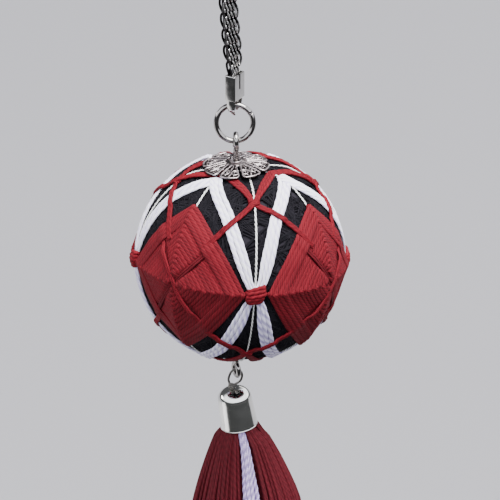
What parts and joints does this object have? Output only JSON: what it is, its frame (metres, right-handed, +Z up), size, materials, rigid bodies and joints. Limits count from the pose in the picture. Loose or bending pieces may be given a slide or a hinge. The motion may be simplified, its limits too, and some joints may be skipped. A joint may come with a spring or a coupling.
{
  "type": "temari ball charm",
  "caption": "Embroidered thread-wound ball charm on an eye pin with a flower cap and ring, hung from a flat mesh chain strap, with a floss tassel in a bell-shaped metal cap below.",
  "frame": {"origin": "highest point of the top ring's inner edge, where the charm hangs", "axes": "+Z up along the charm, -Y the front with the pictured tie, +X to the viewer's right"},
  "size_m": [0.0412, 0.0412, 0.166],
  "materials": {
    "black_thread": "dull cotton thread",
    "red_thread": "soft cotton floss",
    "white_thread": "soft cotton floss",
    "nickel": "bright plated metal"
  },
  "bodies": {
    "root": {"ball": "black_thread", "white_upper": "white_thread", "white_lower": "white_thread", "net_upper": "red_thread", "net_lower": "red_thread", "kite_1": "red_thread", "kite_2": "red_thread", "kite_3": "red_thread", "kite_4": "red_thread", "tie_1": "red_thread", "tie_2": "red_thread", "tie_3": "red_thread", "tie_4": "red_thread", "eye_pin": "nickel", "flower_cap": "nickel", "ring": "nickel", "clamp": "nickel", "strap": "nickel", "top_clamp": "nickel", "top_ring": "nickel", "link": "nickel", "tassel_cap": "nickel", "tassel_red": "red_thread", "tassel_white": "white_thread"}
  },
  "joints": []
}
